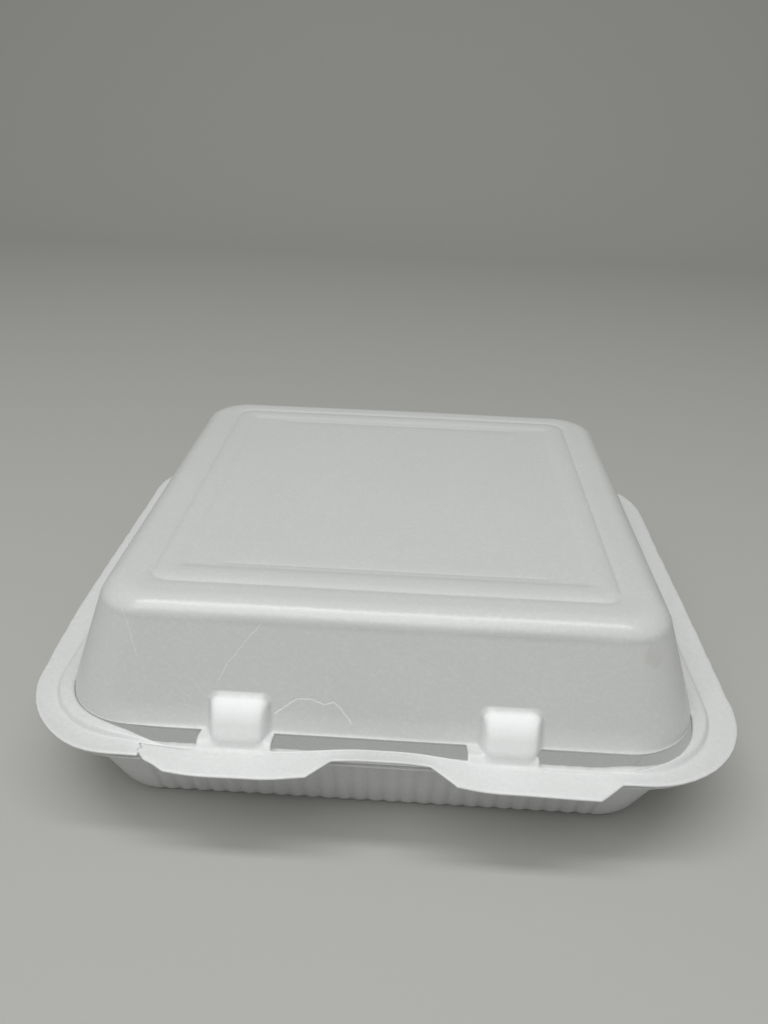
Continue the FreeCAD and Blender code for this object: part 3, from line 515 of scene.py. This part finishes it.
tray_rows = [
    Row(RIM_W, RIM_D, RIM_R, RIM_LOW + 0.6, "rim", 1.0, RIM_SHEET),
    Row(RIM_W - 0.3, RIM_D - 0.3, RIM_R, RIM_LOW + 0.1, "rim", 0.98, RIM_SHEET),
    Row(RIM_W - 1.4, RIM_D - 1.4, RIM_R - 0.7, RIM_LOW, "rim", 0.9, RIM_SHEET),
    Row(RIM_W - 6.0, RIM_D - 5.0, RIM_R - 2.5, RIM_LOW, "rim", 0.5, RIM_SHEET),
    Row(RIM_W - 12.0, RIM_D - 10.0, RIM_R - 5.0, RIM_LOW, "rim", 0.2, RIM_SHEET),
    Row(215.6, 200.4, 29.4, RIM_LOW, "rim", 0.0, 0.6),
    Row(214.2, 199.3, 28.8, RIM_LOW - 0.35, "wall", 0.0, 0.7),
]
wall_high, wall_low = RIM_LOW - 1.0, FLOOR_R * (1 - math.sin(TRAY_LEAN))
for level in range(TRAY_LEVELS):
    height = wall_high - (wall_high - wall_low) * level / (TRAY_LEVELS - 1)
    outline = [foot + (mouth - foot) * height / MOUTH_Z
               for foot, mouth in zip(TRAY_FOOT, TRAY_MOUTH)]
    tray_rows.append(Row(*outline, height))
for inset, rise in rolled_edge(TRAY_LEAN, FLOOR_R, ROLL_LEVELS):
    width, depth, corner = TRAY_FOOT
    tray_rows.append(Row(width - 2 * inset, depth - 2 * inset, corner - inset, rise, "roll"))
tray_rows.append(Row(160.0, 142.0, 10.0, 0.0, "floor"))


def flute_depth(part, along, height):
    """How far a flute presses the wall in at a place."""
    if part not in FLUTED:
        return 0.0
    half = FLUTE * FLUTED[part]
    ends = 1.0 - ease(half - 0.3, half + 0.3, abs(along))
    top = 1.0 - ease(33.5, 36.4, height)
    foot = ease(0.2, 2.2, height)
    phase = math.pi * (along + half) / FLUTE
    return FLUTE_DEEP * (1.0 - abs(math.sin(phase)) ** 0.8) * ends * top * foot


def tray_spot(place, row):
    """The point of a place in a row of the tray, in millimetres."""
    part = place[0]
    x, y = outline_spot(place, row.width, row.depth, row.corner)
    z = row.height
    if row.kind in ("wall", "roll"):
        if part in ("front", "back"):
            y -= flute_depth(part, x, z) * sign(y)
        else:
            x -= flute_depth(part, y, z) * sign(x)
    if part == "front" and row.kind in ("rim", "wall"):
        y -= (TRAY_FORWARD * (1.0 - row.reach) ** 2 * ease(*FORWARD_Z, z)
              * (1.0 - ease(*FORWARD_SPAN, abs(x))))
    if row.kind == "rim":
        if "back" in part:
            y += land_shift(x, y, row)
        if part == "front":
            y += RIM_BACK * row.reach * (1.0 - ease(*RIM_BACK_SPAN, abs(x)))
        cornered = abs(x) / (RIM_W / 2) + max(0.0, -y) / (RIM_D / 2)
        tuck = ease(1.05, 1.85, cornered) * row.reach
        x -= (TUCK if x > 0 else -LEFT_TUCK) * tuck
        y += TUCK * tuck * (y < -60.0)
    return x, y, z


tray_shell = grow_shell("tray_shell", places_round(270, 184, 270), tray_rows, tray_spot)
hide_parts("base_tray")
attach(tray_shell, "base")

# %% [markdown]
# ## Lugs and fold
#
# Two lugs on the inside of the tray stand in the lid's pockets. Each starts as a cube that is
# tapered and bevelled. The fold at the back is a strip of pressed sheet: an arc is spun about the
# line of the fold.

# %% Latch lugs
LUG_LOW, LUG_HIGH = Vector((-5.5, -97.8, 29.5)), Vector((5.5, -91.0, 50.0))
LUG_MIDDLE_Y, LUG_RIM_Z = -94.0, 38.4
# Front and back of the lug at its foot, at the rim and at its top
LUG_FOOT, LUG_WAIST, LUG_HEAD = (-97.8, -95.5), (-95.4, -91.2), (-95.2, -91.4)


def lug(name, middle):
    mesh = bmesh.new()
    bmesh.ops.create_cube(mesh, size=1.0)
    for vert in mesh.verts:
        for axis in range(3):
            vert.co[axis] = LUG_HIGH[axis] if vert.co[axis] > 0 else LUG_LOW[axis]
        high = vert.co.z > LUG_RIM_Z
        if high:
            vert.co.x *= 0.9
        vert.co.y = (LUG_HEAD if high else LUG_FOOT)[vert.co.y > LUG_MIDDLE_Y]
    level = bmesh.ops.bisect_plane(mesh, geom=mesh.verts[:] + mesh.edges[:] + mesh.faces[:],
                                   plane_co=(0, 0, LUG_RIM_Z), plane_no=(0, 0, 1))
    for vert in (g for g in level["geom_cut"] if isinstance(g, bmesh.types.BMVert)):
        vert.co.y = LUG_WAIST[vert.co.y > LUG_MIDDLE_Y]
    for vert in mesh.verts:
        vert.co = (vert.co + Vector((middle, 0, 0))) * MM
    bmesh.ops.bevel(mesh, geom=mesh.edges[:], offset=0.9 * MM, offset_type="OFFSET", segments=3,
                    profile=0.5, affect="EDGES", material=-1)
    bmesh.ops.recalc_face_normals(mesh, faces=mesh.faces[:])
    piece = settle(mesh, name)
    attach(piece, "base")
    return piece


lugs = [lug("lug_left", -42.0), lug("lug_right", 41.0)]

# %% The fold
FOLD_Y, FOLD_Z, FOLD_HALF = 107.0, 38.0, 100.0
FOLD_INNER, FOLD_OUTER = 0.15, 1.35
FOLD_STEPS, FOLD_CUTS = 12, 40
mesh = bmesh.new()
corners = [mesh.verts.new(Vector((-FOLD_HALF, FOLD_Y, FOLD_Z - radius)) * MM)
           for radius in (FOLD_INNER, FOLD_OUTER)]
first = mesh.edges.new(corners)
bmesh.ops.spin(mesh, geom=[first] + corners, cent=Vector((0, FOLD_Y, FOLD_Z)) * MM, axis=(1, 0, 0),
               angle=math.pi, steps=FOLD_STEPS, use_merge=False, use_duplicate=False)
spun = bmesh.ops.extrude_face_region(mesh, geom=mesh.faces[:])["geom"]
for vert in (g for g in spun if isinstance(g, bmesh.types.BMVert)):
    vert.co.x = FOLD_HALF * MM
long_edges = [e for e in mesh.edges if abs(e.verts[0].co.x - e.verts[1].co.x) > FOLD_HALF * MM]
bmesh.ops.subdivide_edges(mesh, edges=long_edges, cuts=FOLD_CUTS, use_grid_fill=True)
bmesh.ops.recalc_face_normals(mesh, faces=mesh.faces[:])
fold = settle(mesh, "fold")
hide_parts("hinge_web")
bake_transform(fold)

# %% [markdown]
# ## Shader maths
#
# A material is a sum of small fields: grain, streaks, scratches. To let them read as maths, one
# class wraps a socket and turns +, - and * into Math nodes.

# %% Fields
class Field:
    """A value that changes over a surface."""

    def __init__(self, socket):
        self.socket = socket

    def make(self, kind, settings=None, inputs=None, output=0):
        """Adds any node: its settings first, then values or links for its sockets."""
        node = self.socket.id_data.nodes.new(kind)
        for key, value in (settings or {}).items():
            setattr(node, key, value)
        for key, value in (inputs or {}).items():
            if isinstance(value, Field):
                node.id_data.links.new(value.socket, node.inputs[key])
            else:
                node.inputs[key].default_value = value
        return Field(node.outputs[output])

    def maths(self, operation, a, b=0.0):
        return self.make("ShaderNodeMath", {"operation": operation}, {0: a, 1: b})

    def __add__(self, other):
        return self.maths("ADD", self, other)

    __radd__ = __add__

    def __sub__(self, other):
        return self.maths("SUBTRACT", self, other)

    def __rsub__(self, other):
        return self.maths("SUBTRACT", other, self)

    def __mul__(self, other):
        return self.maths("MULTIPLY", self, other)

    __rmul__ = __mul__

    def magnitude(self):
        return self.maths("ABSOLUTE", self)

    def at_least(self, other):
        return self.maths("MAXIMUM", self, other)

    def at_most(self, other):
        return self.maths("MINIMUM", self, other)

    def smooth(self, low, high):
        """0 below low, 1 above high."""
        return self.make("ShaderNodeMapRange", {"interpolation_type": "SMOOTHSTEP"},
                         {"Value": self, "From Min": low, "From Max": high})

    def axis(self, name):
        return self.make("ShaderNodeSeparateXYZ", None, {0: self}, "XYZ".index(name))

    def noise(self, scale, detail=3.0, roughness=0.5):
        return self.make("ShaderNodeTexNoise", None, {"Vector": self, "Scale": scale,
                         "Detail": detail, "Roughness": roughness})

    def stretched(self, scale):
        return self.make("ShaderNodeMapping", None, {"Vector": self, "Scale": scale})


def tint(factor, low, high):
    """Runs from one colour to another as a field runs from 0 to 1. Either may be a field."""
    low, high = (value if isinstance(value, Field) else (*value, 1.0) for value in (low, high))
    return factor.make("ShaderNodeMix", {"data_type": "RGBA"},
                       {"Factor": factor, 6: low, 7: high}, 2)


print("fields ready")

# %% [markdown]
# ## Foam skin
#
# Foam sheet has a closed, satin skin over small cells. Where the mould stretched it, on the lid
# wall and the top, it is smooth and a little grey. Where it was pressed thin, on the rim and the
# pockets, it is whiter and grainy. Handling leaves white stress lines and fine cracks.

# %% Foam material
GREY_SKIN, WHITE_SKIN = (0.560, 0.572, 0.562), (0.800, 0.812, 0.806)
STRESS_WHITE, BROWN_PATCH = (0.86, 0.86, 0.84), (0.36, 0.32, 0.27)
# The last number is the strength of a painted glow on the inner faces, standing in for light let
# through the thin foam.
RIM_WHITE, STRIP_WHITE, INSIDE_PAINTED_GLOW = 0.3, 0.45, 0.13
BROWN_PATCH_X, BROWN_PATCH_Z, BROWN_PATCH_SIZE = 81.5, 71.5, 14.0
# Stress lines on the front wall: strength, half width and the x and z of their points
MARKS = (
    (1.0, 0.36, ((-31.3, 47.7), (-24.6, 52.9), (-20.1, 52.8), (-16.1, 51.5), (-13.1, 52.6),
                 (-7.7, 46.2))),
    (0.5, 0.34, ((-35.6, 76.0), (-41.2, 69.0), (-45.7, 63.0), (-48.8, 57.1))),
    (0.4, 0.38, ((-78.1, 78.3), (-75.9, 72.7), (-73.4, 63.6))),
    (0.2, 0.34, ((-56.5, 50.5), (-61.5, 54.5))),
    (0.2, 0.34, ((-54.5, 47.5), (-61.0, 49.5))),
    (0.2, 0.34, ((-53.4, 52.5), (-56.5, 57.5))),
)


def scratch(x, z, wander, a, b, half_width):
    """1 along a straight line on the front wall, between two points in x and z."""
    dx, dz = b[0] - a[0], b[1] - a[1]
    length = math.hypot(dx, dz)
    across = (x - a[0]) * (-dz / length) + (z - a[1]) * (dx / length) + wander
    along = (x - a[0]) * (dx / length) + (z - a[1]) * (dz / length)
    near = 1.0 - across.magnitude().smooth(half_width * 0.3, half_width)
    inside = along.smooth(-0.6, 0.6) * (1.0 - along.smooth(length - 0.6, length + 0.6))
    return near * inside


def stress_marks(where, x, z):
    """The strongest of all stress lines at a point."""
    wander = (where.noise(420.0, 2.0) - 0.5) * 0.8
    lines = [strength * scratch(x, z, wander, a, b, width)
             for strength, width, chain in MARKS for a, b in zip(chain, chain[1:])]
    marks = lines[0]
    for line in lines[1:]:
        marks = marks.at_least(line)
    return marks


def whiteness(x, y, z):
    """How white the skin is at a point in millimetres: the rim a little, the freed strip more,
    the pockets in full."""
    rim = 1.0 - z.smooth(41.2, 43.2)
    strip = rim * (1.0 - y.smooth(-101.5, -99.5)) * (1.0 - x.magnitude().smooth(70.0, 85.0))
    apart, centre = (POCKETS[1] - POCKETS[0]) / 2, (POCKETS[1] + POCKETS[0]) / 2
    side = 1.0 - ((x - centre).magnitude() - apart).magnitude().smooth(7.8, 9.8)
    face = (1.0 - z.smooth(52.8, 54.6)) * (1.0 - y.smooth(-95.5, -93.5)) * z.smooth(39.5, 45.0)
    return (RIM_WHITE * rim).at_least((side * face).at_least(STRIP_WHITE * strip))


def foam(name, worn=False, pressed=False, glow=0.0):
    """Foam skin. Worn adds the marks of the lid's front, pressed makes it whiter all over, and
    glow adds a painted glow, an emission that stands for the light that thin foam lets through
    to the inside."""
    material = bpy.data.materials.new(name)
    material.use_nodes = True
    tree = material.node_tree
    shader = tree.nodes["Principled BSDF"]
    where = Field(tree.nodes.new("ShaderNodeTexCoord").outputs["Object"])
    if glow:
        # Painted glow: the surface emits a little light, standing in for light let through the thin
        # foam.
        shader.inputs["Emission Color"].default_value = (1.0, 1.0, 0.98, 1.0)
        shader.inputs["Emission Strength"].default_value = glow
    x, y, z = (where.axis(name) * 1000.0 for name in "XYZ")
    cells = where.make("ShaderNodeTexVoronoi", None, {"Vector": where, "Scale": 620.0})
    grain = where.noise(850.0, 3.0, 0.7)
    cloud = where.noise(26.0, 3.0)
    streak = where.stretched((1.0, 1.0, 0.16)).noise(150.0, 2.0)
    white = whiteness(x, y, z)
    if pressed:
        white = white.at_least(RIM_WHITE)
    shade = (0.14 * (cloud - 0.5) + 0.12 * (streak - 0.5) + 0.55 * (grain - 0.5)
             + 0.10 * (cells - 0.4))
    colour = tint((white + shade).at_least(0.0).at_most(1.0), GREY_SKIN, WHITE_SKIN)
    height = 0.5 * grain + 0.35 * cells + 0.4 * streak
    if worn:
        front = 1.0 - y.smooth(-88.0, -84.0)
        marks = stress_marks(where, x, z) * front
        colour = tint(marks * 0.55, colour, STRESS_WHITE)
        height = height - 1.5 * marks
        # A brownish darker patch with a ragged edge on the right of the front wall.
        right, up = x - BROWN_PATCH_X, z - BROWN_PATCH_Z
        ragged = 1.4 * (where.noise(300.0, 2.0) - 0.5)
        far = (right * right + up * up) * (1.0 / BROWN_PATCH_SIZE) + ragged
        colour = tint((1.0 - far.smooth(0.3, 1.4)) * front * 0.22, colour, BROWN_PATCH)
    bump = height.make("ShaderNodeBump", None, {"Strength": 0.22, "Distance": 0.00035,
                       "Height": height})
    roughness = 0.28 + 0.32 * white + 0.10 * (cloud - 0.5)
    for socket, field in (("Base Color", colour), ("Roughness", roughness), ("Normal", bump)):
        tree.links.new(field.socket, shader.inputs[socket])
    print(name, len(tree.nodes), "nodes")
    return material


lid_foam = foam("foam_lid", worn=True)
tray_foam = foam("foam_tray", pressed=True)
inside_foam_painted_glow = foam("foam_inside_painted_glow", glow=INSIDE_PAINTED_GLOW)
lid_shell.data.materials.append(lid_foam)
for piece in (tray_shell, fold, *lugs):
    piece.data.materials.append(tray_foam)
# The inner faces of both shells get the foam with the painted glow.
for shell in (lid_shell, tray_shell):
    shell.data.materials.append(inside_foam_painted_glow)
    shell.modifiers["sheet"].material_offset = 1

# %% [markdown]
# ## Floor, light and camera
#
# A pale sweep of paper runs up behind the container, as in a small product studio. A long strip
# lamp overhead gives the highlight along the front edge, and a wide one from high in front
# lights the wall and leaves the tray in the shade of the rim.

# %% Sweep
SWEEP_HALF, SWEEP_NEAR, SWEEP_FLAT, SWEEP_R, SWEEP_RISE = 3.0, -2.0, 2.9, 0.6, 2.5
PAPER = (0.42, 0.42, 0.40, 1.0)


def across_edges(items):
    """The edges among some geometry that run right across the sweep."""
    return [e for e in items if isinstance(e, bmesh.types.BMEdge)
            and abs(e.verts[0].co.x - e.verts[1].co.x) > SWEEP_HALF]


mesh = bmesh.new()
near_edge = mesh.edges.new([mesh.verts.new((x, SWEEP_NEAR, 0.0))
                            for x in (-SWEEP_HALF, SWEEP_HALF)])
grown = bmesh.ops.extrude_edge_only(mesh, edges=[near_edge])["geom"]
far_edge = next(e for e in across_edges(grown) if e is not near_edge)
bmesh.ops.translate(mesh, verts=far_edge.verts[:], vec=(0, SWEEP_FLAT, 0))
bmesh.ops.spin(mesh, geom=[far_edge] + far_edge.verts[:],
               cent=(0, SWEEP_NEAR + SWEEP_FLAT, SWEEP_R), axis=(1, 0, 0),
               angle=math.pi / 2, steps=24)
top_edge = max(across_edges(mesh.edges), key=lambda e: e.verts[0].co.z)
raised = bmesh.ops.extrude_edge_only(mesh, edges=[top_edge])["geom"]
bmesh.ops.translate(mesh, verts=[g for g in raised if isinstance(g, bmesh.types.BMVert)],
                    vec=(0, 0, SWEEP_RISE))
bmesh.ops.recalc_face_normals(mesh, faces=mesh.faces[:])
sweep = settle(mesh, "sweep")
paper = bpy.data.materials.new("paper")
paper.use_nodes = True
paper.node_tree.nodes["Principled BSDF"].inputs["Base Color"].default_value = PAPER
paper.node_tree.nodes["Principled BSDF"].inputs["Roughness"].default_value = 0.85
sweep.data.materials.append(paper)
print("sweep", [round(v, 2) for v in sweep.dimensions])


# %% Lamps
def lamp(name, place, target, size, power):
    """A flat lamp that faces its target, all in metres and watts."""
    light = bpy.data.lights.new(name, "AREA")
    light.shape = "RECTANGLE"
    light.size, light.size_y = size
    light.energy = power
    holder = bpy.data.objects.new(name, light)
    holder.location = place
    aim = Vector(target) - Vector(place)
    holder.rotation_euler = aim.to_track_quat("-Z", "Y").to_euler()
    bpy.context.scene.collection.objects.link(holder)


lamp("overhead", (0.0, -0.33, 1.28), (0.0, -0.08, 0.08), (1.3, 0.14), 7.0)
lamp("front_key", (-0.25, -0.8, 1.25), (0.0, 0.0, 0.05), (1.1, 0.8), 9.2)
world = bpy.data.worlds.new("room")
world.use_nodes = True
world.node_tree.nodes["Background"].inputs["Color"].default_value = (1.0, 1.0, 1.0, 1.0)
world.node_tree.nodes["Background"].inputs["Strength"].default_value = 0.32
bpy.context.scene.world = world
bpy.context.scene.view_settings.view_transform = "Standard"

# %% Camera
# Found by fitting the corners of the rim, the panel and the feet to the photo
CAMERA_PLACE = Vector((6.8, -294.2, 222.0))
YAW, PITCH, ROLL = -0.0348, 0.4776, 0.0349
FOCAL_PIXELS, FRAME_HEIGHT, SENSOR = 848.7, 1024, 36.0
forward = Vector((math.sin(YAW) * math.cos(PITCH), math.cos(YAW) * math.cos(PITCH),
                  -math.sin(PITCH)))
right = Vector((math.cos(YAW), -math.sin(YAW), 0.0))
up = right.cross(forward)
turned_right = right * math.cos(ROLL) + up * math.sin(ROLL)
turned_up = up * math.cos(ROLL) - right * math.sin(ROLL)
camera_data = bpy.data.cameras.new("camera")
camera_data.sensor_width = SENSOR
camera_data.lens = FOCAL_PIXELS / FRAME_HEIGHT * SENSOR
camera_data.clip_start = 0.01
camera = bpy.data.objects.new("camera", camera_data)
camera.matrix_world = Matrix.Translation(CAMERA_PLACE * MM) @ Matrix(
    (turned_right, turned_up, -forward)).transposed().to_4x4()
bpy.context.scene.collection.objects.link(camera)
bpy.context.scene.camera = camera
print("lens", round(camera_data.lens, 2))
